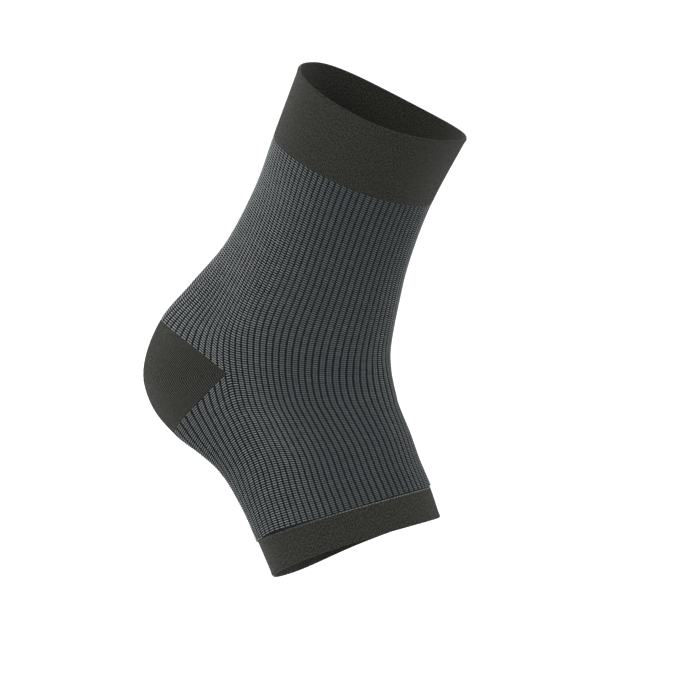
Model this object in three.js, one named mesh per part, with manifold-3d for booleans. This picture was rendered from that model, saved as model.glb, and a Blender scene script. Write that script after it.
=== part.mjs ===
// Knitted ankle support in its worn form: a leg cuff, a ribbed sleeve, a heel cup and a foot band. Sizes
// are in millimetres. +Z runs up the leg, +X points to the toes and +Y to the inner side of a right foot.
// The origin is the ankle's centre.
import * as THREE from "three";
import { mergeVertices } from "three/addons/utils/BufferGeometryUtils.js";
import Module from "manifold-3d";

// Sections of the outer surface, one row each from the leg to the toes. Front and back are the section's
// end points in the plane Y = 0, and lateral and medial are its half widths. Lead is the share of the half
// depth by which its widest place lies forward, and ridge is how far its front point lies to the medial
// side. Fullness is 2 for an elliptic back, more for a flatter one and less for a pointed one, as behind the
// ankle. Sag is how far its sides lie past its plane towards the toes. Gather is the share of its girth by
// which its ribs are drawn to the front at the most.
const COLUMNS = [
  "frontX", "frontZ", "backX", "backZ", "lateral", "medial", "lead", "ridge", "fullness", "sag", "gather",
];
const SECTIONS = {
  legRim:    [38.5, 96, -39.3, 94, 34, 34, 0.12, 0, 2.4, 3, 0],
  cuffEnd:   [36.7, 64, -38.5, 61, 32, 32, 0.08, 0, 2.0, 1, 0],
  legSlim:   [38.7, 37, -38.1, 34, 31, 31, 0.05, 0, 1.55, 0, 0],
  ankleTop:  [42.8, 17, -40.4, 5.8, 33, 33, 0.01, 0, 1.4, 0, 0.012],
  ankle:     [47.5, 0, -47.4, -17.4, 34, 34, 0.02, 0, 1.4, 0, 0.026],
  heelTop:   [52.2, -8, -52.6, -38.4, 34, 34, -0.05, 0, 1.8, 0, 0.058],
  heelBack:  [55.5, -12, -49, -59, 33, 33, -0.05, 0, 2.4, 0, 0.078],
  heelLow:   [59, -16, -39, -71.5, 33, 33, -0.08, 0, 2.4, 0, 0.081],
  heelFront: [62, -20, -22.8, -77.8, 34, 33, -0.10, 1, 2.4, 0, 0.075],
  arch:      [71, -28.5, 3, -81, 35, 34, -0.12, 2, 2.4, 0, 0.05],
  midfoot:   [79.2, -37, 20.5, -89.5, 36, 35, -0.12, 3, 2.4, 0, 0.034],
  bandStart: [88.2, -45, 35, -100, 37, 36, -0.12, 4, 2.4, -1.6, 0.027],
  toeRim:    [98.2, -55.3, 48.8, -110.6, 37.5, 36.5, -0.12, 5, 2.4, -2.6, 0.02],
};
const ROW = Object.fromEntries(Object.keys(SECTIONS).map((name, index) => [name, index]));

// The two ankle bones press the knit outwards: their places, the side (-1 lateral, 1 medial), radius and
// height.
const ANKLE_BONES = [
  { x: -4, z: -6, side: -1, radius: 14, height: 2 },
  { x: 6, z: 4, side: 1, radius: 14, height: 2 },
];

// The heel cup lies under a round face that arches back from the apex over its crown, and behind a flat one
// that falls steeply from the apex, at this angle in the XZ plane. Both faces reach right across the foot.
const HEEL_APEX = { x: -2, z: -34.6 };
const HEEL_CROWN_X = -22.6;
const HEEL_ROUND_RADIUS = 108;
const HEEL_FLAT_ANGLE = THREE.MathUtils.degToRad(249);
const HEEL_REACH = 140;

// Ribs, and the powers by which their gather rises from the front and falls away to the back.
const RIB_COUNT = 78;
const COLUMNS_PER_RIB = 2;
const RIB_HEIGHT = 0.7;
const GATHER_RISE = 1.5;
const GATHER_FALL = 6;
const SEAM_GAP = 0.3;

// Depths of the pieces' outer and inner faces below the section surface, which the ribs' crests touch.
const INNER_DEPTH = 2.1;
const CUFF_DEPTH = 0.2;
const HEEL_DEPTH = 0.4;
const BAND_DEPTH = 0.9;

// Each open rim is rolled into a bead of this height, over this many rows of the table.
const ROLL = { height: 0.5, cuffRows: 0.08, bandRows: 0.16 };

// Facets: columns round the plain pieces and the inner faces, and steps along each piece's outer and inner
// face.
const PLAIN_COLUMNS = 74;
const OUTER_STEPS = { cuff: 4, sleeve: 16, heel: 12, band: 3 };
const INNER_STEPS = { cuff: 3, sleeve: 13, heel: 10, band: 2 };
const ANGLE_STEPS = 360;
const ROUND_STEPS = 120;
const SLOPE_STEP = 0.02;
const WELD_TOLERANCE = 1e-4;

const COLOURS = { cuff: "#34352f", sleeve: "#474c4d", heel: "#3c3c38", band: "#2f302c" };
const KNIT_ROUGHNESS = 0.9;

const wasm = await Module();
wasm.setup();

// One column of the table at any row, whole or not, on a Catmull-Rom curve through its values.
function spline(values, row) {
  const last = values.length - 1;
  const index = THREE.MathUtils.clamp(Math.floor(row), 0, last - 1);
  const share = row - index;
  const start = values[index];
  const end = values[index + 1];
  const before = index > 0 ? values[index - 1] : 2 * start - end;
  const after = index < last - 1 ? values[index + 2] : 2 * end - start;
  const startSlope = (end - before) / 2;
  const endSlope = (after - start) / 2;
  const bend = 3 * (end - start) - 2 * startSlope - endSlope;
  const twist = 2 * (start - end) + startSlope + endSlope;
  return start + share * (startSlope + share * (bend + share * twist));
}

function sectionAt(row) {
  const rows = Object.values(SECTIONS);
  const valueOf = (column) => spline(rows.map((values) => values[column]), row);
  return Object.fromEntries(COLUMNS.map((name, column) => [name, valueOf(column)]));
}

// How far the ankle bones push a point of one side out.
function boneBulge(x, z, side) {
  return ANKLE_BONES.filter((bone) => bone.side === side).reduce((sum, bone) => {
    const distance = Math.hypot(x - bone.x, z - bone.z) / bone.radius;
    return sum + bone.height * Math.exp(-distance * distance);
  }, 0);
}

// A point of a section at an angle that runs from the front over the lateral side to the back.
function sectionPoint(section, angle) {
  const along = Math.cos(angle);
  const across = Math.sin(angle);
  const fullness = along >= 0 ? 2 : section.fullness;
  const depth = Math.sign(along) * Math.abs(along) ** (2 / fullness);
  const width = Math.abs(across) ** (2 / fullness);
  const led = depth + section.lead * (1 - depth * depth);
  const halfX = (section.frontX - section.backX) / 2;
  const halfZ = (section.frontZ - section.backZ) / 2;
  const sag = (section.sag * across * across) / Math.hypot(halfX, halfZ);
  const x = (section.frontX + section.backX) / 2 + halfX * led + halfZ * sag;
  const z = (section.frontZ + section.backZ) / 2 + halfZ * led - halfX * sag;
  const side = across >= 0 ? -1 : 1;
  const halfWidth = side < 0 ? section.lateral : section.medial;
  const y = side * width * (halfWidth + boneBulge(x, z, side)) + (section.ridge * (1 + depth)) / 2;
  return new THREE.Vector3(x, y, z);
}

// The gather's curve from 0 at the front to 0 at the back, at a place between 0 and 1 on the way.
function gatherCurve(place) {
  return place ** GATHER_RISE * (1 - place ** GATHER_FALL);
}

// A share of the girth, counted from the front, drawn to the front on either side.
function gathered(share, gather) {
  const half = Math.min(share, 1 - share);
  const highest = (GATHER_RISE / (GATHER_RISE + GATHER_FALL)) ** (1 / GATHER_FALL);
  const place = half - (gather * gatherCurve(2 * half)) / gatherCurve(highest);
  return share < 0.5 ? place : 1 - place;
}

// A closed ring of points round the section at a row, from its front point on, spaced as its ribs are.
function ribRing(row, count) {
  const section = sectionAt(row);
  const angles = Array.from({ length: ANGLE_STEPS }, (_, step) => (step / ANGLE_STEPS) * Math.PI * 2);
  const outline = new THREE.CurvePath();
  const points = angles.map((angle) => sectionPoint(section, angle));
  points.forEach((point, step) => outline.add(new THREE.LineCurve3(point, points[(step + 1) % ANGLE_STEPS])));
  const shares = Array.from({ length: count }, (_, column) => gathered(column / count, section.gather));
  return shares.map((share) => outline.getPoint(share));
}

// A ring sunk below the section surface, square to it, by a depth that may differ from column to column.
function sunkRing(row, count, depthAt) {
  const ring = ribRing(row, count);
  const above = ribRing(row - SLOPE_STEP, count);
  const below = ribRing(row + SLOPE_STEP, count);
  return ring.map((point, column) => {
    const round = ring[(column + 1) % count].clone().sub(ring[(column + count - 1) % count]);
    const down = below[column].clone().sub(above[column]);
    const inward = down.cross(round).normalize();
    return point.clone().addScaledVector(inward, depthAt(column, row));
  });
}

// Triangles between two rings of points, which may differ in their number of points.
function stitch(first, second) {
  const faces = [];
  let a = 0;
  let b = 0;
  while (a < first.count || b < second.count) {
    const here = first.start + (a % first.count);
    const there = second.start + (b % second.count);
    if (b === second.count || (a + 1) * second.count <= (b + 1) * first.count) {
      a += 1;
      faces.push(here, first.start + (a % first.count), there);
    } else {
      b += 1;
      faces.push(here, second.start + (b % second.count), there);
    }
  }
  return faces;
}

// A tube of knit: its outer rings from the leg to the toes, then its inner rings back, stitched into a
// closed body.
function tube(outerRings, innerRings) {
  const rings = [...outerRings, ...innerRings.toReversed()];
  let start = 0;
  const places = rings.map((ring) => {
    const place = { start, count: ring.length };
    start += ring.length;
    return place;
  });
  const geometry = new THREE.BufferGeometry().setFromPoints(rings.flat());
  geometry.setIndex(places.flatMap((place, index) => stitch(place, places[(index + 1) % places.length])));
  return toManifold(geometry);
}

function toManifold(geometry) {
  const bare = geometry.clone();
  bare.deleteAttribute("normal");
  bare.deleteAttribute("uv");
  const merged = mergeVertices(bare, WELD_TOLERANCE);
  const vertProperties = new Float32Array(merged.attributes.position.array);
  const triVerts = new Uint32Array(merged.index.array);
  return new wasm.Manifold(new wasm.Mesh({ numProp: 3, vertProperties, triVerts }));
}

function toMesh(name, solid, colour) {
  const { vertProperties, triVerts } = solid.getMesh();
  const geometry = new THREE.BufferGeometry();
  geometry.setAttribute("position", new THREE.BufferAttribute(vertProperties, 3));
  geometry.setIndex(new THREE.BufferAttribute(triVerts, 1));
  const material = new THREE.MeshStandardMaterial({ color: colour, roughness: KNIT_ROUGHNESS, metalness: 0 });
  const mesh = new THREE.Mesh(geometry, material);
  mesh.name = name;
  return mesh;
}

function evenRows(from, to, steps) {
  return Array.from({ length: steps + 1 }, (_, step) => THREE.MathUtils.lerp(from, to, step / steps));
}

function ringsAt(rows, count, depthAt) {
  return rows.map((row) => sunkRing(row, count, depthAt));
}

function innerRings(from, to, steps) {
  return ringsAt(evenRows(from, to, steps), PLAIN_COLUMNS, () => INNER_DEPTH);
}

// The share of a row that makes half a seam's gap, measured along the front, where the rows lie closest.
function halfGap(row) {
  const above = sectionAt(row - SLOPE_STEP);
  const below = sectionAt(row + SLOPE_STEP);
  const length = Math.hypot(below.frontX - above.frontX, below.frontZ - above.frontZ);
  const lengthPerRow = length / (2 * SLOPE_STEP);
  return SEAM_GAP / 2 / lengthPerRow;
}

// The heel's room right across the foot, with both faces moved out by a margin, or in by a negative one.
function heelRoom(margin) {
  const radius = HEEL_ROUND_RADIUS + margin;
  const axisDepth = Math.sqrt(HEEL_ROUND_RADIUS ** 2 - (HEEL_APEX.x - HEEL_CROWN_X) ** 2);
  const round = new THREE.CylinderGeometry(radius, radius, HEEL_REACH, ROUND_STEPS);
  round.translate(HEEL_CROWN_X, 0, HEEL_APEX.z - axisDepth);
  const behind = new THREE.Vector3(Math.sin(HEEL_FLAT_ANGLE), 0, -Math.cos(HEEL_FLAT_ANGLE));
  const apex = new THREE.Vector3(HEEL_APEX.x, 0, HEEL_APEX.z);
  return toManifold(round).trimByPlane(behind.toArray(), behind.dot(apex) - margin);
}

// The depth of a plain piece whose rim at one row is rolled into a bead.
function rolledDepth(depth, rimRow, rollRows) {
  return (column, row) => {
    const share = Math.min(Math.abs(row - rimRow) / rollRows, 1);
    return depth - ROLL.height * Math.sin(Math.PI * share);
  };
}

function makeCuff() {
  const rim = ROW.legRim;
  const end = ROW.cuffEnd - halfGap(ROW.cuffEnd);
  const rows = [rim, rim + ROLL.cuffRows / 2, ...evenRows(rim + ROLL.cuffRows, end, OUTER_STEPS.cuff)];
  const outer = ringsAt(rows, PLAIN_COLUMNS, rolledDepth(CUFF_DEPTH, rim, ROLL.cuffRows));
  return tube(outer, innerRings(rim, end, INNER_STEPS.cuff));
}

function makeSleeve() {
  const start = ROW.cuffEnd + halfGap(ROW.cuffEnd);
  const end = ROW.bandStart - halfGap(ROW.bandStart);
  const ribDepth = (column) => (column % COLUMNS_PER_RIB === 0 ? RIB_HEIGHT : 0);
  const outer = ringsAt(evenRows(start, end, OUTER_STEPS.sleeve), RIB_COUNT * COLUMNS_PER_RIB, ribDepth);
  return tube(outer, innerRings(start, end, INNER_STEPS.sleeve)).subtract(heelRoom(SEAM_GAP / 2));
}

function makeHeel() {
  const rows = evenRows(ROW.ankle, ROW.arch, OUTER_STEPS.heel);
  const outer = ringsAt(rows, PLAIN_COLUMNS, () => HEEL_DEPTH);
  return tube(outer, innerRings(ROW.ankle, ROW.arch, INNER_STEPS.heel)).intersect(heelRoom(-SEAM_GAP / 2));
}

function makeBand() {
  const start = ROW.bandStart + halfGap(ROW.bandStart);
  const rim = ROW.toeRim;
  const rows = [...evenRows(start, rim - ROLL.bandRows, OUTER_STEPS.band), rim - ROLL.bandRows / 2, rim];
  const outer = ringsAt(rows, PLAIN_COLUMNS, rolledDepth(BAND_DEPTH, rim, ROLL.bandRows));
  return tube(outer, innerRings(start, rim, INNER_STEPS.band));
}

const support = new THREE.Group();
support.name = "ankle_support";
support.add(toMesh("leg_cuff", makeCuff(), COLOURS.cuff));
support.add(toMesh("ankle_sleeve", makeSleeve(), COLOURS.sleeve));
support.add(toMesh("heel_cup", makeHeel(), COLOURS.heel));
support.add(toMesh("foot_band", makeBand(), COLOURS.band));
export default support;
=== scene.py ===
"""Knitted ankle support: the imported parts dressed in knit, in the photograph's view and light."""

import cmath
import math

import bmesh
import bpy
import numpy as np
from mathutils import Matrix, Vector


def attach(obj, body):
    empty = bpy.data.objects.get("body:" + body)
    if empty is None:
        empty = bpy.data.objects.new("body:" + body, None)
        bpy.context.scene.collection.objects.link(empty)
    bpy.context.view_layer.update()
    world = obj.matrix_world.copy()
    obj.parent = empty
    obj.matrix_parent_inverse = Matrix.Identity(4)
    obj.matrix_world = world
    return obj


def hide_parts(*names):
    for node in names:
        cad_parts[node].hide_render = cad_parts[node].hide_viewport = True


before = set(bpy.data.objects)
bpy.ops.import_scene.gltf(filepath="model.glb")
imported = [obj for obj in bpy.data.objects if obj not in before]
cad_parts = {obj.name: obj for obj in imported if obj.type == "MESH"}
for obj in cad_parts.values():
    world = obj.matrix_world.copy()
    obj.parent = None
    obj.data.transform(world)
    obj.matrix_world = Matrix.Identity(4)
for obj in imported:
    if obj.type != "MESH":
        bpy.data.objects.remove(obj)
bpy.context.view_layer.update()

MM = 0.001
chance = np.random.default_rng(7)

# Sections of the outer surface in millimetres, the same as the part's own: one row each from the leg to the
# toes. Front and back are the section's end points in the plane Y = 0, and lateral and medial are its half
# widths. Lead is the share of the half depth by which its widest place lies forward, and ridge is how far its
# front point lies to the medial side. Fullness is 2 for an elliptic back, more for a flatter one and less for
# a pointed one. Sag is how far its sides lie past its plane towards the toes. Gather is the share of its
# girth by which its ribs are drawn to the front at the most.
COLUMNS = (
    "front_x", "front_z", "back_x", "back_z", "lateral", "medial",
    "lead", "ridge", "fullness", "sag", "gather",
)
SECTIONS = {
    "leg_rim": (38.5, 96, -39.3, 94, 34, 34, 0.12, 0, 2.4, 3, 0),
    "cuff_end": (36.7, 64, -38.5, 61, 32, 32, 0.08, 0, 2.0, 1, 0),
    "leg_slim": (38.7, 37, -38.1, 34, 31, 31, 0.05, 0, 1.55, 0, 0),
    "ankle_top": (42.8, 17, -40.4, 5.8, 33, 33, 0.01, 0, 1.4, 0, 0.012),
    "ankle": (47.5, 0, -47.4, -17.4, 34, 34, 0.02, 0, 1.4, 0, 0.026),
    "heel_top": (52.2, -8, -52.6, -38.4, 34, 34, -0.05, 0, 1.8, 0, 0.058),
    "heel_back": (55.5, -12, -49, -59, 33, 33, -0.05, 0, 2.4, 0, 0.078),
    "heel_low": (59, -16, -39, -71.5, 33, 33, -0.08, 0, 2.4, 0, 0.081),
    "heel_front": (62, -20, -22.8, -77.8, 34, 33, -0.10, 1, 2.4, 0, 0.075),
    "arch": (71, -28.5, 3, -81, 35, 34, -0.12, 2, 2.4, 0, 0.05),
    "midfoot": (79.2, -37, 20.5, -89.5, 36, 35, -0.12, 3, 2.4, 0, 0.034),
    "band_start": (88.2, -45, 35, -100, 37, 36, -0.12, 4, 2.4, -1.6, 0.027),
    "toe_rim": (98.2, -55.3, 48.8, -110.6, 37.5, 36.5, -0.12, 5, 2.4, -2.6, 0.02),
}
ROW = {name: index for index, name in enumerate(SECTIONS)}
TABLE = np.array(list(SECTIONS.values()), dtype=float)
# The two ankle bones press the knit outwards: their places, the side (-1 lateral, 1 medial), radius and
# height.
ANKLE_BONES = (
    {"x": -4, "z": -6, "side": -1, "radius": 14, "height": 2},
    {"x": 6, "z": 4, "side": 1, "radius": 14, "height": 2},
)
# Steps round a section, small steps that slopes are read over, steps along the rows where they are read
# finely, and the share of the girth where lengths down the lateral side are measured.
ANGLE_STEPS = 720
SLOPE_ROWS = 0.02
SLOPE_SHARE = 0.002
FINE_ROWS = 600
SIDE_SHARE = 0.2

# The heel cup lies under a round face that arches back from the apex over its crown, and behind a flat one
# that falls steeply from the apex. Between them its mitre runs back and down. All are seen in the XZ plane.
HEEL_APEX = np.array((-2.0, -34.6))
HEEL_CROWN_X = -22.6
HEEL_ROUND_RADIUS = 108.0
HEEL_AXIS_DEPTH = math.sqrt(HEEL_ROUND_RADIUS ** 2 - (HEEL_APEX[0] - HEEL_CROWN_X) ** 2)
HEEL_AXIS = np.array((HEEL_CROWN_X, HEEL_APEX[1] - HEEL_AXIS_DEPTH))
HEEL_FLAT_ANGLE = math.radians(249)
HEEL_MITRE_ANGLE = math.radians(214.5)
# The grid that the heel is cut from covers these rows and shares of the girth. Cuts are made up to this far
# past the apex, and corners this near to a cut, in metres, count as on it.
HEEL_ROWS = (4.2, 8.9)
HEEL_SHARES = (0.16, 0.84)
CUT_REACH = 4.0
CUT_SNAP = 1e-7

# Depths below the section surface. The walls thin out towards the open rims, and their corners are rounded.
INNER_DEPTH = 2.1
RIM_THICKNESS = 1.1
RIM_TAPER = 9.0
SEAM_RADIUS = 0.3
HEEL_SEAM = 0.04
CUFF_DEPTH = 0.2
HEEL_DEPTH = 0.4
BAND_DEPTH = 0.9
RIB_GROUND_DEPTH = 0.42
ROLL_HEIGHT = 0.22
ROLL_LENGTH = 2.0
ARC_STEPS = 6
INNER_SPACING = 4.0

# Ribs: the ground between the stitches, as pairs of place in the rib and depth of the groove, and the powers
# by which the gather rises from the front and falls away to the back.
RIB_COUNT = 78
RIB_SHARES = (np.arange(RIB_COUNT) + 0.5) / RIB_COUNT
GATHER_RISE = 1.5
GATHER_FALL = 6
GROOVE_DEPTH = 0.5
RIB_PROFILE = ((0.0, 1.0), (0.10, 0.85), (0.20, 0.15), (0.5, 0.0), (0.80, 0.15), (0.90, 0.85))
GROUND_SPACING = 1.25

# The knit opens between these shares of the girth from the front, and is wholly stretched behind them. It is
# also a little open at the very front. On the foot the ground is drawn less open, so paler: painted light
# that offsets the shade on the foot, which faces down.
OPEN_SHARES = (0.17, 0.38)
FRONT_SHARES = (0.01, 0.07)
FRONT_OPENNESS = 0.3
GROUND_OPENNESS_AND_PAINTED_LIGHT = {"leg": 1.0, "foot": 0.6}

# Rib stitches: one short bar across each rib in every course. Its length is a share of its rib's pitch, and
# its width a share of its course. On the leg they are turned from their courses, longer and thinner than on
# the foot. In the dense knit they are also shorter and wider than in the open knit, lower and darker.
COURSE_PITCH = 0.98
STITCH_SPAN = {"leg": 0.93, "foot": 0.80}
STITCH_COVER = {"leg": 0.36, "foot": 0.54}
STITCH_TILT = {"leg": math.radians(-10), "foot": 0.0}
DENSE_LENGTH = {"dense": 0.94, "open": 1.0}
DENSE_WIDTH = {"dense": 1.5, "open": 1.0}
STITCH_HEIGHT = {"dense": 0.28, "open": 0.32}
STITCH_TONE = {"dense": 0.275, "open": 0.96}
STITCH_SINK = 0.12
STITCH_VARIATION = 0.05
TONE_VARIATION = 0.08
# Their tone is lowered by these factors on the leg and the foot, below the cuff, and on the sole, where the
# lowering is painted shade on the underside of the foot.
STITCH_PALENESS = {"leg": 0.88, "foot": 0.77}
CUFF_PALENESS = {"cuff": 0.84, "ankle": 1.0}
SOLE_PAINTED_SHADE = {"side": 1.0, "sole": 0.68}
SOLE_SHARES = (0.35, 0.45)
# The courses' bend at the heel's apex eases away from it, by so many ribs a course up to a most. The broad
# waves round the girth stay.
EASE = {"per_course": 0.25, "most": 5.0, "broad_waves": 3}
# Stations along a stitch: place, width and height. It is a whole bar on the leg, and on the foot it dips in
# the middle, where its two wales part. Its arch goes through these angles.
STITCH_STATIONS = {
    "leg": ((-1.0, 0.4, 0.1), (-0.6, 1.0, 1.0), (0.0, 1.0, 0.9), (0.6, 1.0, 1.0), (1.0, 0.4, 0.1)),
    "foot": ((-1.0, 0.4, 0.1), (-0.6, 1.0, 1.0), (0.0, 0.78, 0.52), (0.6, 1.0, 1.0), (1.0, 0.4, 0.1)),
}
STITCH_ARCH = (0, 60, 120, 180)
STITCH_PIECES = 4

# Plain knit of the cuff, heel and band. The heel's wales slant away from its mitre, which is a raised line.
WALE_PITCH = 1.05
WALE_STEPS = 4
WALE_RELIEF = 0.07
PLAIN_SPACING = 0.9
PLAIN_COURSE_PITCH = 0.8
HEEL_SPACING = 0.45
HEEL_WALE_PITCH = 1.2
HEEL_WALE_STEPS = 3
HEEL_SLANT = 0.67
MITRE_HEIGHT = 0.08
MITRE_WIDTH = 0.9
LINE_WEIGHT = {"tube": 0.2, "heel": 1.2}
THREAD_WEIGHT = 0.06
# Grain as fine as the stitches: its weight, scale and detail, and how much it is drawn out along the wales.
GRAIN = {"weight": 4.4, "scale": 2.0, "detail": 2, "draw": 0.5}

# Hem of the band: a row of short light stitches along its upper edge, lighter towards the top of the foot.
HEM_PITCH = 1.5
HEM_SIZE = (0.66, 0.24, 0.30)
HEM_INSET = 0.75
HEM_LIGHT_SHARES = (0.16, 0.32)
HEM_TONE = {"dark": 0.1, "light": 0.6}
HEM_VARIATION = 0.06

# Colours of each knit, from its darkest to its palest.
CUFF_COLOURS = ((0.0067, 0.0067, 0.0052), (0.0260, 0.0268, 0.0224))
BAND_COLOURS = ((0.0077, 0.0078, 0.0060), (0.0302, 0.0313, 0.0264))
HEEL_COLOURS = ((0.0028, 0.0028, 0.0022), (0.0320, 0.0324, 0.0272))
GROUND_COLOURS = {
    # The groove colour is partly the dark ground yarn and partly painted shade in the recesses of the ribs.
    "groove": (0.0125, 0.0147, 0.0164),
    "dense": (0.0126, 0.0160, 0.0178),
    "stretched": (0.0056, 0.0066, 0.0073),
}
YARN_COLOURS = ((0.0130, 0.0190, 0.0208), (0.209, 0.220, 0.223))
# A plain knit's shade before its lines and grain, and the share of a stitch's tone that it has at its base:
# painted shade that darkens each stitch towards the ground.
PLAIN_SHADE = 0.5
PAINTED_SHADE_BASE_TONE = 0.2

# Finishes: how rough, shiny and downy each surface is, its mottling, and how far its bumps stand out in
# metres.
FINISHES = {
    "plain": {"roughness": 0.85, "specular": 0.06, "sheen": 0.07},
    "ground": {"roughness": 0.9, "specular": 0.04, "sheen": 0.0},
    "yarn": {"roughness": 0.75, "specular": 0.2, "sheen": 0.12},
    "floor": {"roughness": 0.9, "specular": 0.2, "sheen": 0.0},
}
MOTTLES = {
    "plain": {"scale": 500, "detail": 2, "weight": 0.3},
    "ground": {"scale": 1200, "detail": 3, "weight": 0.5},
    "yarn": {"scale": 2500, "detail": 4, "weight": 0.25},
}
BUMPS = {"plain": 0.0003, "ground": 0.0002, "yarn": 0.00015}
BUMP_STRENGTH = 0.5
SHEEN_ROUGHNESS = 0.5

FLOOR = {"size": 30, "height": -0.32, "colour": (0.97, 0.97, 0.97)}

# The photograph's view: azimuth, elevation and roll in degrees, the distance, reach and aim point in metres,
# and the lens in millimetres.
VIEW = {"azimuth": 20, "elevation": 16, "roll": 24.5, "distance": 2.0, "reach": 100, "lens": 239.2}
AIM = (0.0296, 0.0076, -0.0103)

# Soft lights: how far right, up and back of the aim point as the camera sees it, and size and power.
LIGHTS = {
    "key": {"place": (-0.9, 1.3, 1.2), "size": 1.2, "power": 26},
    "fill": {"place": (1.7, 0.4, 0.3), "size": 1.4, "power": 15},
    "rim": {"place": (-1.0, 0.9, -1.0), "size": 1.0, "power": 14},
}
WORLD_STRENGTH = 1.05


def blend(low, high, value):
    """A smooth step from 0 at low to 1 at high."""
    share = np.clip((value - low) / (high - low), 0, 1)
    return share * share * (3 - 2 * share)


def unit(vectors):
    return vectors / np.linalg.norm(vectors, axis=-1, keepdims=True)


def spline(values, rows):
    """One column of the table at any rows, on a Catmull-Rom curve through its values."""
    padded = np.concatenate([[2 * values[0] - values[1]], values, [2 * values[-1] - values[-2]]])
    index = np.clip(np.floor(rows).astype(int), 0, len(values) - 2)
    share = rows - index
    before, start, end, after = (padded[index + step] for step in range(4))
    start_slope = (end - before) / 2
    end_slope = (after - start) / 2
    bend = 3 * (end - start) - 2 * start_slope - end_slope
    twist = 2 * (start - end) + start_slope + end_slope
    return start + share * (start_slope + share * (bend + share * twist))


def column_at(name, rows):
    return spline(TABLE[:, COLUMNS.index(name)], rows)[:, None]


def bone_bulge(x, z, side):
    """How far the ankle bones push the points of each side out."""
    bulge = np.zeros_like(x)
    for bone in ANKLE_BONES:
        distance = np.hypot(x - bone["x"], z - bone["z"]) / bone["radius"]
        bulge += np.where(side == bone["side"], bone["height"] * np.exp(-distance * distance), 0)
    return bulge


def section_points(rows):
    """The outlines of the sections at these rows, from the front over the lateral side and round."""
    column = {name: column_at(name, rows) for name in COLUMNS}
    angles = np.linspace(0, 2 * math.pi, ANGLE_STEPS + 1)
    along = np.cos(angles)[None]
    across = np.sin(angles)[None]
    power = np.where(along >= 0, 1.0, 2 / column["fullness"])
    depth = np.sign(along) * np.abs(along) ** power
    width = np.abs(across) ** power
    led = depth + column["lead"] * (1 - depth * depth)
    half_x = (column["front_x"] - column["back_x"]) / 2
    half_z = (column["front_z"] - column["back_z"]) / 2
    sag = column["sag"] * across * across / np.hypot(half_x, half_z)
    x = (column["front_x"] + column["back_x"]) / 2 + half_x * led + half_z * sag
    z = (column["front_z"] + column["back_z"]) / 2 + half_z * led - half_x * sag
    side = np.where(across >= 0, -1, 1)
    half_width = np.where(side < 0, column["lateral"], column["medial"])
    y = side * width * (half_width + bone_bulge(x, z, side)) + column["ridge"] * (1 + depth) / 2
    return np.stack([x, y, z], axis=-1)


def girth(row):
    outline = section_points(np.array([row]))[0]
    return np.linalg.norm(np.diff(outline, axis=0), axis=1).sum()


def from_front(shares):
    """How far shares of the girth lie from the front, on either side."""
    return np.minimum(shares, 1 - shares)


def ring_points(rows, shares):
    """Points at shares of each section's girth from its front; the shares may differ from row to row."""
    outlines = section_points(rows)
    steps = np.linalg.norm(np.diff(outlines, axis=1), axis=2)
    shares = np.broadcast_to(shares, (len(rows), np.shape(shares)[-1])) % 1.0
    points = np.empty(shares.shape + (3,))
    for index, outline in enumerate(outlines):
        along = np.concatenate([[0], np.cumsum(steps[index])])
        for axis in range(3):
            points[index, :, axis] = np.interp(shares[index] * along[-1], along, outline[:, axis])
    return points


def gather_curve(place):
    """The gather's curve from 0 at the front to 0 at the back, at places between 0 and 1 on the way."""
    return place ** GATHER_RISE * (1 - place ** GATHER_FALL)


def gathered(rows, shares):
    """Shares of the girth at each row, drawn to the front on either side by the row's gather."""
    turns = shares % 1.0
    half = from_front(turns)
    highest = (GATHER_RISE / (GATHER_RISE + GATHER_FALL)) ** (1 / GATHER_FALL)
    pull = gather_curve(2 * half) / gather_curve(highest)
    place = half[None] - column_at("gather", rows) * pull[None]
    return np.where(turns[None] < 0.5, place, 1 - place)


def surface(rows, shares):
    """Points of the section surface and the unit directions round it, along it to the toes and out of it."""
    ahead = ring_points(rows, shares + SLOPE_SHARE)
    behind = ring_points(rows, shares - SLOPE_SHARE)
    below = ring_points(rows + SLOPE_ROWS, shares)
    above = ring_points(rows - SLOPE_ROWS, shares)
    around = unit(ahead - behind)
    down = unit(below - above)
    return ring_points(rows, shares), around, down, unit(np.cross(around, down))


def side_lengths(rows):
    """Lengths down the lateral side from the first of these rows."""
    path = ring_points(rows, np.array([SIDE_SHARE]))[:, 0]
    return np.concatenate([[0], np.cumsum(np.linalg.norm(np.diff(path, axis=0), axis=1))])


def course_counts(rows, pitch):
    """How many courses of this pitch lie above each of these rows, which may come in any order."""
    order = np.argsort(rows)
    counts = np.empty(len(rows))
    counts[order] = side_lengths(rows[order]) / pitch
    return counts


def spaced_rows(start, end, spacing):
    """Rows from start to end that lie about this far apart down the lateral side."""
    fine = np.linspace(start, end, FINE_ROWS)
    lengths = side_lengths(fine)
    count = max(int(round(lengths[-1] / spacing)), 1)
    return np.interp(np.linspace(0, lengths[-1], count + 1), lengths, fine)


def rows_per_mm(row):
    return 2 * SLOPE_ROWS / side_lengths(np.array([row - SLOPE_ROWS, row + SLOPE_ROWS]))[-1]


def beside(angle):
    """The unit direction in the XZ plane to the right of a line that leaves at an angle."""
    return np.array((math.sin(angle), -math.cos(angle)))


def heel_depths(points):
    """How deep points lie inside the heel's round face and its flat face."""
    flat = points[..., (0, 2)]
    under = HEEL_ROUND_RADIUS - np.linalg.norm(flat - HEEL_AXIS, axis=-1)
    behind = (flat - HEEL_APEX) @ beside(HEEL_FLAT_ANGLE)
    return under, behind


def in_heel(points, margin):
    return np.minimum(*heel_depths(points)) > -margin


def from_mitre(points):
    """How far points lie from the plane of the heel's mitre."""
    return np.abs((points[..., (0, 2)] - HEEL_APEX) @ beside(HEEL_MITRE_ANGLE))


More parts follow.
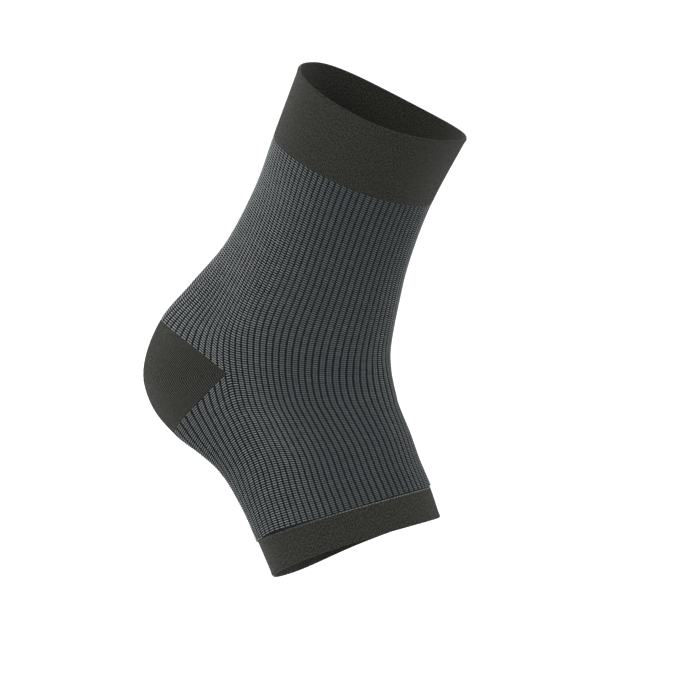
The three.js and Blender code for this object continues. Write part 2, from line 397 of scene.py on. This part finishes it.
def grid_faces(rings, columns, closed_rings, closed_columns):
    """Quads of a grid of points, joined end to end along or round it where it is closed."""
    ring = np.arange(rings if closed_rings else rings - 1)[:, None]
    column = np.arange(columns if closed_columns else columns - 1)[None]
    next_ring = (ring + 1) % rings
    next_column = (column + 1) % columns
    corners = (
        ring * columns + column,
        next_ring * columns + column,
        next_ring * columns + next_column,
        ring * columns + next_column,
    )
    return np.stack(corners, axis=-1).reshape(-1, 4)


def make_piece(name, points, faces, values, material):
    """A smooth mesh from points in millimetres, quads and named values at its points."""
    mesh = bpy.data.meshes.new(name)
    mesh.vertices.add(len(points))
    mesh.vertices.foreach_set("co", (points * MM).astype(np.float32).ravel())
    mesh.loops.add(faces.size)
    mesh.loops.foreach_set("vertex_index", faces.astype(np.int32).ravel())
    mesh.polygons.add(len(faces))
    mesh.polygons.foreach_set("loop_start", np.arange(0, faces.size, 4, dtype=np.int32))
    mesh.update(calc_edges=True)
    mesh.shade_smooth()
    for key, numbers in values.items():
        layer = mesh.attributes.new(key, "FLOAT", "POINT")
        layer.data.foreach_set("value", np.asarray(numbers, dtype=np.float32).ravel())
    mesh.materials.append(material)
    piece = bpy.data.objects.new(name, mesh)
    bpy.context.scene.collection.objects.link(piece)
    return piece


def edge_profile(edge, inwards, outer_depth, is_rim):
    """Rows and outer and inner depths of a tube's rounded edge, from its outer face to its middle."""
    corner = np.linspace(0, math.pi / 2, ARC_STEPS)
    thickness = RIM_THICKNESS if is_rim else INNER_DEPTH - outer_depth
    radius = thickness / 2 if is_rim else SEAM_RADIUS
    rows = edge + inwards * radius * rows_per_mm(edge) * (1 - np.sin(corner))
    sunk = radius * (1 - np.cos(corner))
    return rows, outer_depth + sunk, outer_depth + thickness - sunk


def shell_profile(start, end, outer_depth, spacing, rim=None):
    """A closed profile of a tube of knit: its rows and depths, and 1 where it is the outer face."""
    outer = spaced_rows(start, end, spacing)[1:-1]
    inner = spaced_rows(start, end, INNER_SPACING)[-2:0:-1]
    outer_depths = np.full(len(outer), outer_depth)
    inner_depths = np.full(len(inner), INNER_DEPTH)
    if rim is not None:
        near_rim = 1 - blend(0, RIM_TAPER, np.abs(inner - rim) / rows_per_mm(rim))
        inner_depths -= (INNER_DEPTH - outer_depth - RIM_THICKNESS) * near_rim
    end_rows, end_outer, end_inner = edge_profile(end, -1, outer_depth, end == rim)
    start_rows, start_outer, start_inner = edge_profile(start, 1, outer_depth, start == rim)
    rows = [outer, end_rows, end_rows[::-1], inner, start_rows, start_rows[::-1]]
    depths = [outer_depths, end_outer, end_inner[::-1], inner_depths, start_inner, start_outer[::-1]]
    facing = [np.ones(len(outer)), np.zeros(4 * ARC_STEPS + len(inner))]
    return np.concatenate(rows), np.concatenate(depths), np.concatenate(facing)


def sunk_points(rows, shares, depths):
    """Points below the section surface by depths given for each row and column."""
    points, _, _, out = surface(rows, shares)
    return points - out * depths[..., None]


def plain_tube(name, start, end, outer_depth, rim, material):
    """A plain tube of knit whose rim at one end is rolled into a bead."""
    rows, depths, facing = shell_profile(start, end, outer_depth, PLAIN_SPACING, rim)
    wales = int(round(girth(rim) / WALE_PITCH))
    shares = np.arange(wales * WALE_STEPS) / (wales * WALE_STEPS)
    from_rim = np.abs(rows - rim) / rows_per_mm(rim) / ROLL_LENGTH
    bead = ROLL_HEIGHT * np.sin(math.pi * np.clip(from_rim, 0, 1)) * facing
    relief = WALE_RELIEF * np.cos(2 * math.pi * wales * shares)[None] * facing[:, None]
    points = sunk_points(rows, shares, (depths - bead)[:, None] - relief)
    size = (len(rows), len(shares))
    values = {
        "wale": np.broadcast_to(shares[None] * wales, size),
        "course": np.broadcast_to(course_counts(rows, PLAIN_COURSE_PITCH)[:, None], size),
    }
    return make_piece(name, points.reshape(-1, 3), grid_faces(*size, True, True), values, material)


def faces_near_heel(mesh):
    """The faces that the heel's edges may cut, with their edges and corners."""
    reach_x, reach_z = (HEEL_APEX + CUT_REACH) * MM
    parts = set()
    for face in mesh.faces:
        if any(vert.co.x < reach_x and vert.co.z < reach_z for vert in face.verts):
            parts.update((*face.verts, *face.edges, face))
    return list(parts)


def cut_flat_face(mesh, margin):
    """Cuts a mesh along the heel's flat face, moved out by a margin."""
    x, z = beside(HEEL_FLAT_ANGLE)
    behind = Vector((x, 0, z))
    place = (Vector((HEEL_APEX[0], 0, HEEL_APEX[1])) - behind * margin) * MM
    bmesh.ops.bisect_plane(mesh, geom=faces_near_heel(mesh), plane_co=place, plane_no=behind, dist=CUT_SNAP)


def cut_round_face(mesh, margin):
    """Cuts a mesh along the heel's round face, moved out by a margin: a level cut once it is unrolled."""
    near = faces_near_heel(mesh)
    axis = complex(*HEEL_AXIS) * MM
    for vert in mesh.verts:
        radius, angle = cmath.polar(complex(vert.co.x, vert.co.z) - axis)
        vert.co.x, vert.co.z = angle, radius
    place = (0, 0, (HEEL_ROUND_RADIUS + margin) * MM)
    bmesh.ops.bisect_plane(mesh, geom=near, plane_co=place, plane_no=(0, 0, 1), dist=CUT_SNAP)
    for vert in mesh.verts:
        flat = cmath.rect(vert.co.z, vert.co.x) + axis
        vert.co.x, vert.co.z = flat.real, flat.imag


def cut_heel(piece, keep_inside, margin):
    """Cuts a piece along the heel's two faces, keeps one part and closes its edge between the two walls."""
    mesh = bmesh.new()
    mesh.from_mesh(piece.data)
    cut_flat_face(mesh, margin)
    cut_round_face(mesh, margin)
    centres = np.array([face.calc_center_median() for face in mesh.faces]) / MM
    inside = in_heel(centres, margin)
    gone = [face for face, within in zip(mesh.faces, inside) if within != keep_inside]
    bmesh.ops.delete(mesh, geom=gone, context="FACES")
    edges = [edge for edge in mesh.edges if edge.is_boundary]
    bmesh.ops.bridge_loops(mesh, edges=edges)
    bmesh.ops.recalc_face_normals(mesh, faces=mesh.faces)
    for face in mesh.faces:
        face.smooth = True
    mesh.to_mesh(piece.data)
    mesh.free()


def openness(shares):
    """How far the knit is stretched open at shares of the ribs: wholly at the back, a little at the front."""
    at_front = 1 - blend(*FRONT_SHARES, from_front(shares))
    return blend(*OPEN_SHARES, from_front(shares)) + FRONT_OPENNESS * at_front


def between(ends, share):
    """A value that lies this share of the way from the first of two named values to the second."""
    first, second = ends.values()
    return first + (second - first) * share


def foot_share(rows):
    """How far rows lie on the way from the leg to the foot."""
    return blend(ROW["ankle_top"], ROW["heel_top"], rows)


def make_ground(material):
    """The ribbed ground of the sleeve, under the stitches."""
    rows, depths, facing = shell_profile(ROW["cuff_end"], ROW["band_start"], RIB_GROUND_DEPTH, GROUND_SPACING)
    places = np.array([place for place, _ in RIB_PROFILE])
    grooves = np.tile([depth for _, depth in RIB_PROFILE], RIB_COUNT)
    shares = ((np.arange(RIB_COUNT)[:, None] + places[None]) / RIB_COUNT).ravel()
    sunk = depths[:, None] + GROOVE_DEPTH * grooves[None] * facing[:, None]
    points = sunk_points(rows, gathered(rows, shares), sunk)
    # Less open and so paler on the foot: painted light against the shade on its downward side.
    opened = openness(shares)[None] * between(GROUND_OPENNESS_AND_PAINTED_LIGHT, foot_share(rows))[:, None]
    size = opened.shape
    values = {
        "course": np.broadcast_to(course_counts(rows, COURSE_PITCH)[:, None], size),
        "lift": np.broadcast_to(1 - grooves[None], size),
        "open": opened,
    }
    faces = grid_faces(*size, True, True)
    piece = make_piece("sleeve_ground", points.reshape(-1, 3), faces, values, material)
    cut_heel(piece, keep_inside=False, margin=HEEL_SEAM / 2)
    return piece


def make_heel(material):
    """The plain heel cup, with its slanted wales and the raised mitre where its two halves meet."""
    outer = spaced_rows(*HEEL_ROWS, HEEL_SPACING)
    inner = spaced_rows(*HEEL_ROWS, INNER_SPACING)[::-1]
    rows = np.concatenate([outer, inner])
    facing = np.concatenate([np.ones(len(outer)), np.zeros(len(inner))])[:, None]
    first, last = HEEL_SHARES
    round_heel = girth(ROW["heel_back"]) / HEEL_WALE_PITCH
    shares = np.linspace(first, last, int((last - first) * round_heel * HEEL_WALE_STEPS) + 1)
    off_mitre = from_mitre(ring_points(rows, shares))
    wale = from_front(shares)[None] * round_heel + HEEL_SLANT * off_mitre / HEEL_WALE_PITCH
    mitre = MITRE_HEIGHT * np.exp(-((off_mitre / MITRE_WIDTH) ** 2))
    relief = WALE_RELIEF * np.cos(2 * math.pi * wale) + mitre
    depths = np.where(facing > 0, HEEL_DEPTH, INNER_DEPTH)
    points = sunk_points(rows, shares, depths - relief * facing)
    outside = grid_faces(len(outer), len(shares), False, False)
    inside = grid_faces(len(inner), len(shares), False, False) + len(outer) * len(shares)
    values = {"wale": wale, "course": off_mitre / PLAIN_COURSE_PITCH}
    faces = np.concatenate([outside, inside])
    piece = make_piece("heel_knit", points.reshape(-1, 3), faces, values, material)
    cut_heel(piece, keep_inside=True, margin=-HEEL_SEAM / 2)
    return piece


def stitch_shape(stations):
    """A stitch of unit half length, half width and height: its points as along, across and up."""
    points = []
    for place, width, height in stations:
        for angle in STITCH_ARCH:
            turn = math.radians(angle)
            points.append((place, width * math.cos(turn), height * math.sin(turn)))
    return np.array(points)


def place_stitches(name, places, along, across, up, sizes, on_foot, tones, material):
    """Many stitches as one mesh, each with a place, directions, sizes, a leg or foot shape and a tone."""
    leg, foot = (stitch_shape(stations) for stations in STITCH_STATIONS.values())
    shapes = leg[None] + (foot - leg)[None] * on_foot[:, None, None]
    spread = shapes * sizes[:, None]
    points = (
        places[:, None]
        + spread[..., 0:1] * along[:, None]
        + spread[..., 1:2] * across[:, None]
        + (spread[..., 2:3] - STITCH_SINK) * up[:, None]
    )
    quads = grid_faces(len(STITCH_STATIONS["leg"]), len(STITCH_ARCH), False, False)
    faces = (quads[None] + (np.arange(len(places)) * len(leg))[:, None, None]).reshape(-1, 4)
    values = {"tone": np.repeat(tones, len(leg)), "lift": shapes[..., 2]}
    return make_piece(name, points.reshape(-1, 3), faces, values, material)


def turned(around, down, angle):
    """Two directions in the surface, turned together by an angle."""
    cosine = np.cos(angle)[..., None]
    sine = np.sin(angle)[..., None]
    return around * cosine + down * sine, down * cosine - around * sine


def apex_row():
    """The row of the section that runs through the heel's apex."""
    rows = np.linspace(*HEEL_ROWS, FINE_ROWS)
    flat = section_points(rows)[..., (0, 2)] - HEEL_APEX
    return rows[np.linalg.norm(flat, axis=-1).min(axis=1).argmin()]


def heel_crossings(rows, points, apex):
    """The rows where each rib meets the heel's upper and lower edge, or the apex's row where it passes by."""
    inside = in_heel(points, 0)
    passing = ~inside.any(axis=0)
    upper = rows[inside.argmax(axis=0)]
    lower = rows[len(rows) - 1 - inside[::-1].argmax(axis=0)]
    return np.where(passing, apex, upper), np.where(passing, apex, lower)


def course_edges(rows, lengths, starts, ends, count):
    """Lengths along each rib that part it between two rows into courses, as edges by ribs."""
    edges = []
    for rib, path in enumerate(lengths.T):
        first, last = np.interp((starts[rib], ends[rib]), rows, path)
        edges.append(np.linspace(first, last, count + 1))
    return np.array(edges).T


def eased(edges, from_heel):
    """Course edges smoothed round the girth, the more the more courses they lie away from the heel."""
    waves = np.abs(np.fft.fftfreq(edges.shape[1]))
    narrow = np.maximum(waves - EASE["broad_waves"] / edges.shape[1], 0)
    spread = np.minimum(from_heel * EASE["per_course"], EASE["most"])
    damping = np.exp(-2 * (math.pi * spread[:, None] * narrow[None]) ** 2)
    return np.fft.ifft(np.fft.fft(edges, axis=1) * damping, axis=1).real


def make_courses(rows, points, lengths):
    """Where each course starts and ends along each rib. They follow the heel's edges and run on before it."""
    apex = apex_row()
    leg_end, foot_start = heel_crossings(rows, points, apex)
    every = np.ones(points.shape[1])
    leg_count = len(spaced_rows(ROW["cuff_end"], apex, COURSE_PITCH)) - 1
    foot_count = len(spaced_rows(apex, ROW["band_start"], COURSE_PITCH)) - 1
    leg = course_edges(rows, lengths, ROW["cuff_end"] * every, leg_end, leg_count)
    foot = course_edges(rows, lengths, foot_start, ROW["band_start"] * every, foot_count)
    leg = eased(leg, np.arange(leg_count, -1, -1))
    foot = eased(foot, np.arange(foot_count + 1))
    return np.concatenate([leg[:-1], foot[:-1]]), np.concatenate([leg[1:], foot[1:]])


def read_along(lengths, values, places):
    """Values given along each rib, read at other lengths along the same ribs."""
    columns = []
    for rib, path in enumerate(lengths.T):
        columns.append([np.interp(places[:, rib], path, kind) for kind in values[:, rib].T])
    return np.array(columns).transpose(2, 0, 1)


def rib_paths():
    """Rows along the ribs, the points and directions out at each rib's crest, and the lengths along it."""
    rows = np.linspace(ROW["cuff_end"], ROW["band_start"], FINE_ROWS)
    points, _, _, out = surface(rows, gathered(rows, RIB_SHARES))
    steps = np.linalg.norm(np.diff(points, axis=0), axis=-1)
    lengths = np.concatenate([np.zeros((1, RIB_COUNT)), np.cumsum(steps, axis=0)])
    return rows, points, out, lengths


def stitch_places():
    """The middle of each stitch, the direction out of it, its row and how long its course is on its rib."""
    rows, path, facing, lengths = rib_paths()
    starts, ends = make_courses(rows, path, lengths)
    row_values = np.broadcast_to(rows[:, None, None], path.shape[:2] + (1,))
    values = read_along(lengths, np.concatenate([path, facing, row_values], axis=-1), (starts + ends) / 2)
    return values[..., :3], unit(values[..., 3:6]), values[..., 6], ends - starts


def stitch_sizes(pitch, courses, opened, on_foot):
    """Half lengths, half widths and heights of the stitches."""
    vary = chance.normal(1.0, STITCH_VARIATION, (3,) + pitch.shape)
    span = between(STITCH_SPAN, on_foot) * between(DENSE_LENGTH, opened)
    cover = between(STITCH_COVER, on_foot) * between(DENSE_WIDTH, opened)
    half_length = pitch * span / 2 * vary[0]
    half_width = courses * cover / 2 * vary[1]
    height = between(STITCH_HEIGHT, opened) * vary[2] + STITCH_SINK
    return np.stack([half_length, half_width, height], axis=-1)


def stitch_tones(rows, opened, on_foot):
    """Tones of the stitches, from 0 for the darkest to 1 for the palest."""
    below_cuff = blend(ROW["cuff_end"], ROW["ankle_top"], rows)
    before_heel = blend(ROW["heel_back"], ROW["heel_front"], rows)
    # Stitches on the sole are darkened: painted shade on the foot's underside, against the light from below.
    on_sole = before_heel * blend(*SOLE_SHARES, from_front(RIB_SHARES))
    paleness = between(STITCH_PALENESS, on_foot) * between(CUFF_PALENESS, below_cuff)
    paleness *= between(SOLE_PAINTED_SHADE, on_sole)
    vary = chance.normal(1, TONE_VARIATION, rows.shape)
    return np.clip(between(STITCH_TONE, opened) * paleness * vary, 0, 1)


def make_stitches(material):
    """The rib stitches, in pieces that each cover a part of the girth."""
    points, out, rows, courses = stitch_places()
    ahead = np.roll(points, -1, axis=1) - np.roll(points, 1, axis=1)
    around = unit(ahead - out * np.sum(ahead * out, axis=-1, keepdims=True))
    pitch = np.linalg.norm(ahead, axis=-1) / 2
    on_foot = foot_share(rows)
    tilt = between(STITCH_TILT, on_foot) * np.where(RIB_SHARES < 0.5, 1, -1)
    along, across = turned(around, np.cross(out, around), tilt)
    opened = np.broadcast_to(openness(RIB_SHARES), pitch.shape)
    sizes = stitch_sizes(pitch, courses, opened, on_foot)
    tones = stitch_tones(rows, opened, on_foot)
    places = points - out * RIB_GROUND_DEPTH
    part = np.broadcast_to((RIB_SHARES * STITCH_PIECES).astype(int), pitch.shape)
    pieces = []
    for index in range(STITCH_PIECES):
        grids = (grid[part == index] for grid in (places, along, across, out, sizes, on_foot, tones))
        pieces.append(place_stitches(f"rib_stitches_{index + 1}", *grids, material))
    return pieces


def make_hem(material):
    """The row of light stitches along the band's upper edge."""
    row = np.array([ROW["band_start"] + HEM_INSET * rows_per_mm(ROW["band_start"])])
    count = int(round(girth(row[0]) / HEM_PITCH))
    shares = (np.arange(count) + 0.5) / count
    points, around, down, out = (grid[0] for grid in surface(row, shares))
    sizes = np.tile(HEM_SIZE, (count, 1)) * chance.normal(1.0, HEM_VARIATION, (count, 3))
    light = 1 - blend(*HEM_LIGHT_SHARES, from_front(shares))
    tones = np.clip(between(HEM_TONE, light) + chance.normal(0, HEM_VARIATION, count), 0, 1)
    places = points - out * BAND_DEPTH
    return place_stitches("band_hem", places, around, down, out, sizes, np.zeros(count), tones, material)


def new_material(name, roughness, specular, sheen):
    material = bpy.data.materials.new(name)
    material.use_nodes = True
    shader = material.node_tree.nodes["Principled BSDF"]
    shader.inputs["Roughness"].default_value = roughness
    shader.inputs["Specular IOR Level"].default_value = specular
    shader.inputs["Sheen Weight"].default_value = sheen
    shader.inputs["Sheen Roughness"].default_value = SHEEN_ROUGHNESS
    return material, material.node_tree, shader


def linked(tree, kind, links=(), **settings):
    """A node with its settings, and its inputs linked to sockets or set to values."""
    node = tree.nodes.new(kind)
    for key, value in settings.items():
        setattr(node, key, value)
    for key, value in dict(links).items():
        if isinstance(value, bpy.types.NodeSocket):
            tree.links.new(value, node.inputs[key])
        else:
            node.inputs[key].default_value = value
    return node


def maths(tree, operation, first, second=None):
    links = {0: first}
    if second is not None:
        links[1] = second
    return linked(tree, "ShaderNodeMath", links, operation=operation).outputs[0]


def value_of(tree, name):
    return linked(tree, "ShaderNodeAttribute", attribute_name=name).outputs["Fac"]


def noise(tree, place, scale, detail):
    """Noise spread about zero."""
    texture = linked(tree, "ShaderNodeTexNoise", {"Vector": place, "Scale": scale, "Detail": detail})
    return maths(tree, "SUBTRACT", texture.outputs["Fac"], 0.5)


def mottle(tree, finish):
    """The mottling of a finish, and its weight."""
    kind = MOTTLES[finish]
    place = linked(tree, "ShaderNodeTexCoord").outputs["Object"]
    return noise(tree, place, kind["scale"], kind["detail"]), kind["weight"]


def grain(tree, wale, course):
    """Noise as fine as the stitches, drawn out along the wales."""
    along = maths(tree, "MULTIPLY", course, GRAIN["draw"])
    place = linked(tree, "ShaderNodeCombineXYZ", {"X": wale, "Y": along}).outputs[0]
    return noise(tree, place, GRAIN["scale"], GRAIN["detail"])


def scaled_sum(tree, start, *terms):
    """A start value plus each term's socket times its weight."""
    total = start
    for socket, weight in terms:
        total = maths(tree, "ADD", maths(tree, "MULTIPLY", socket, weight), total)
    return total


def mixed(tree, share, dark, light):
    """A colour between two, which are each a colour or a socket."""
    ends = [end if isinstance(end, bpy.types.NodeSocket) else (*end, 1) for end in (dark, light)]
    clamped = linked(tree, "ShaderNodeClamp", {"Value": share}).outputs[0]
    links = {0: clamped, 6: ends[0], 7: ends[1]}
    return linked(tree, "ShaderNodeMix", links, data_type="RGBA").outputs[2]


def bumped(tree, shader, height, finish):
    links = {"Height": height, "Distance": BUMPS[finish], "Strength": BUMP_STRENGTH}
    bump = linked(tree, "ShaderNodeBump", links)
    tree.links.new(bump.outputs["Normal"], shader.inputs["Normal"])


def wave(tree, value):
    """A cosine that rises and falls once for each whole step of the value."""
    return maths(tree, "COSINE", maths(tree, "MULTIPLY", value, 2 * math.pi))


def plain_knit(name, dark, light, line_weight):
    """Fine plain knit: faint wale lines and courses, grain as fine as the stitches and a little mottling."""
    material, tree, shader = new_material(name, **FINISHES["plain"])
    wale = value_of(tree, "wale")
    course = value_of(tree, "course")
    lines = (wave(tree, wale), line_weight)
    threads = (wave(tree, course), THREAD_WEIGHT)
    rough = (grain(tree, wale, course), GRAIN["weight"])
    shade = scaled_sum(tree, PLAIN_SHADE, lines, threads, rough, mottle(tree, "plain"))
    tree.links.new(mixed(tree, shade, dark, light), shader.inputs["Base Color"])
    bumped(tree, shader, shade, "plain")
    return material


def ground_knit(name, groove, dense, stretched):
    """The rib ground: darker in the grooves, dark yarn and painted shade, near black where stretched open."""
    material, tree, shader = new_material(name, **FINISHES["ground"])
    shade = scaled_sum(tree, value_of(tree, "lift"), mottle(tree, "ground"))
    # Towards the groove bottoms the colour darkens: partly dark yarn, partly painted shade.
    unstretched = mixed(tree, shade, groove, dense)
    colour = mixed(tree, value_of(tree, "open"), unstretched, stretched)
    tree.links.new(colour, shader.inputs["Base Color"])
    bumped(tree, shader, wave(tree, value_of(tree, "course")), "ground")
    return material


def stitch_yarn(name, dark, light):
    """Rib yarn: each stitch has its own tone, with painted shade darkening it towards its base."""
    material, tree, shader = new_material(name, **FINISHES["yarn"])
    fuzz, weight = mottle(tree, "yarn")
    # Tone scaled by lift: painted shade, darker where the stitch meets the ground.
    height = maths(tree, "ADD", value_of(tree, "lift"), PAINTED_SHADE_BASE_TONE)
    shade = scaled_sum(tree, maths(tree, "MULTIPLY", value_of(tree, "tone"), height), (fuzz, weight))
    tree.links.new(mixed(tree, shade, dark, light), shader.inputs["Base Color"])
    bumped(tree, shader, fuzz, "yarn")
    return material


def make_floor():
    bpy.ops.mesh.primitive_plane_add(size=FLOOR["size"], location=(0, 0, FLOOR["height"]))
    floor = bpy.context.object
    floor.name = "floor"
    material, _, shader = new_material("floor_paper", **FINISHES["floor"])
    shader.inputs["Base Color"].default_value = (*FLOOR["colour"], 1)
    floor.data.materials.append(material)


def view_axes():
    """The camera's right, up and back directions."""
    azimuth, elevation, roll = (math.radians(VIEW[key]) for key in ("azimuth", "elevation", "roll"))
    level = Vector((math.cos(azimuth), math.sin(azimuth), 0))
    flat = math.cos(elevation)
    back = Vector((math.sin(azimuth) * flat, -math.cos(azimuth) * flat, math.sin(elevation)))
    upright = back.cross(level)
    right = level * math.cos(roll) + upright * math.sin(roll)
    up = upright * math.cos(roll) - level * math.sin(roll)
    return right, up, back


def make_camera():
    right, up, back = view_axes()
    data = bpy.data.cameras.new("photo_view")
    data.lens = VIEW["lens"]
    data.clip_end = VIEW["reach"]
    camera = bpy.data.objects.new("photo_view", data)
    turn = Matrix((right, up, back)).transposed().to_4x4()
    camera.matrix_world = Matrix.Translation(Vector(AIM) + back * VIEW["distance"]) @ turn
    bpy.context.scene.collection.objects.link(camera)
    bpy.context.scene.camera = camera


def make_lights():
    right, up, back = view_axes()
    for name, light in LIGHTS.items():
        data = bpy.data.lights.new(name, "AREA")
        data.size = light["size"]
        data.energy = light["power"]
        lamp = bpy.data.objects.new(name, data)
        sideways, upwards, backwards = light["place"]
        away = right * sideways + up * upwards + back * backwards
        lamp.location = Vector(AIM) + away
        lamp.rotation_euler = away.to_track_quat("Z", "Y").to_euler()
        bpy.context.scene.collection.objects.link(lamp)


def make_world():
    world = bpy.data.worlds.new("studio")
    world.use_nodes = True
    background = world.node_tree.nodes["Background"]
    background.inputs["Color"].default_value = (1, 1, 1, 1)
    background.inputs["Strength"].default_value = WORLD_STRENGTH
    bpy.context.scene.world = world
    bpy.context.scene.view_settings.view_transform = "Standard"


cuff_knit = plain_knit("cuff_knit", *CUFF_COLOURS, LINE_WEIGHT["tube"])
heel_knit = plain_knit("heel_knit", *HEEL_COLOURS, LINE_WEIGHT["heel"])
band_knit = plain_knit("band_knit", *BAND_COLOURS, LINE_WEIGHT["tube"])
rib_ground = ground_knit("rib_ground", **GROUND_COLOURS)
rib_yarn = stitch_yarn("rib_yarn", *YARN_COLOURS)

cuff = plain_tube("cuff_knit", ROW["leg_rim"], ROW["cuff_end"], CUFF_DEPTH, ROW["leg_rim"], cuff_knit)
band = plain_tube("band_knit", ROW["band_start"], ROW["toe_rim"], BAND_DEPTH, ROW["toe_rim"], band_knit)
ground = make_ground(rib_ground)
heel = make_heel(heel_knit)
stitches = make_stitches(rib_yarn)
hem = make_hem(rib_yarn)

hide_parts("leg_cuff")
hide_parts("foot_band")
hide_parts("ankle_sleeve")
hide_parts("heel_cup")
for piece, slot in ((cuff, "cuff_knit"), (band, "band_knit"), (heel, "heel_knit"), (ground, "rib_knit")):
    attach(piece, "root")
for piece in stitches:
    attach(piece, "root")
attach(hem, "root")

make_floor()
make_camera()
make_lights()
make_world()
